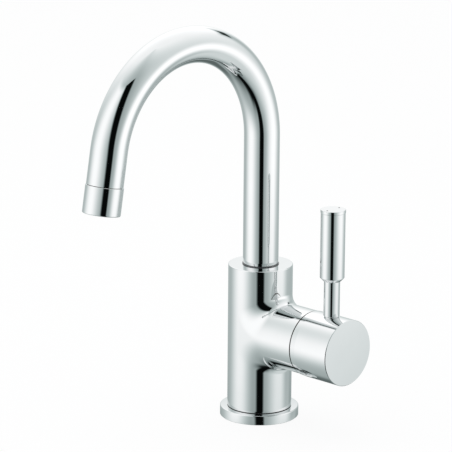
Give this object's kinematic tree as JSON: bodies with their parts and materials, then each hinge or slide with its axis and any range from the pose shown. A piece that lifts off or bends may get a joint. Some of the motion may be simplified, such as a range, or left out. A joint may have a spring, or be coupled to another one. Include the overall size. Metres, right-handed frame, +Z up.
{
  "type": "tall basin mixer",
  "caption": "Tall basin mixer with a round body on a base flange, a swan-neck swivel spout and an upright pin lever on a side hub over a ceramic-disc cartridge.",
  "frame": {"origin": "centre of the base flange's underside, where the mixer stands on the basin", "axes": "+Z up along the body's axis, +X along the side branch towards the hub, -Y the way the spout points at rest"},
  "size_m": [0.0977, 0.171, 0.2548],
  "materials": {
    "chrome": "mirror-polished chrome plate",
    "brass": "turned, unplated",
    "steel": "plain stainless",
    "rubber": "matt black",
    "slip_ring": "smooth dark acetal",
    "cartridge": "moulded",
    "rotor": "moulded",
    "straightener": "moulded",
    "ceramic": "lapped alumina"
  },
  "bodies": {
    "mixer_body": {"body_casting": "chrome", "base_flange": "chrome", "base_seal": "rubber", "body_gasket": "rubber", "spout_slip_ring": "slip_ring", "spout_lock_screw": "steel", "cartridge_housing": "cartridge", "cartridge_base": "cartridge", "port_seals": "rubber", "fixed_disc": "ceramic", "retaining_nut": "brass", "dome_cover": "chrome"},
    "spout": {"spout_tube": "chrome", "spout_spigot": "brass", "spigot_o_rings": "rubber", "outlet_nipple": "brass", "aerator_housing": "chrome", "aerator_washer": "rubber", "aerator_screen": "steel", "flow_straightener": "straightener"},
    "rotor": {"cartridge_rotor": "rotor", "pivot_pin": "steel"},
    "lever": {"cartridge_stem": "brass", "handle_hub": "chrome", "hub_grub_screw": "steel", "lever_rod": "chrome", "lever_grip": "chrome", "grip_cap": "chrome"},
    "disc": {"disc_driver": "cartridge", "moving_disc": "ceramic"}
  },
  "joints": [
    {"name": "spout_swivel", "type": "hinge", "parent": "mixer_body", "child": "spout", "pos_m": [0, 0, 0.0974], "axis": [0, 0, 1], "range_deg": [-75, 75]},
    {"name": "handle_turn", "type": "hinge", "parent": "mixer_body", "child": "rotor", "pos_m": [0.026, 0, 0.0555], "axis": [1, 0, 0], "range_deg": [-45, 45]},
    {"name": "handle_lift", "type": "hinge", "parent": "rotor", "child": "lever", "pos_m": [0.026, 0, 0.0555], "axis": [0, 1, 0], "range_deg": [0, 22]},
    {"name": "disc_slide", "type": "slide", "parent": "rotor", "child": "disc", "axis": [0, 0, 1], "range_m": [0, 0.0033]}
  ],
  "couplings": [
    {"joint": "disc_slide", "follows": "handle_lift", "m_per_rad": 0.0085}
  ]
}
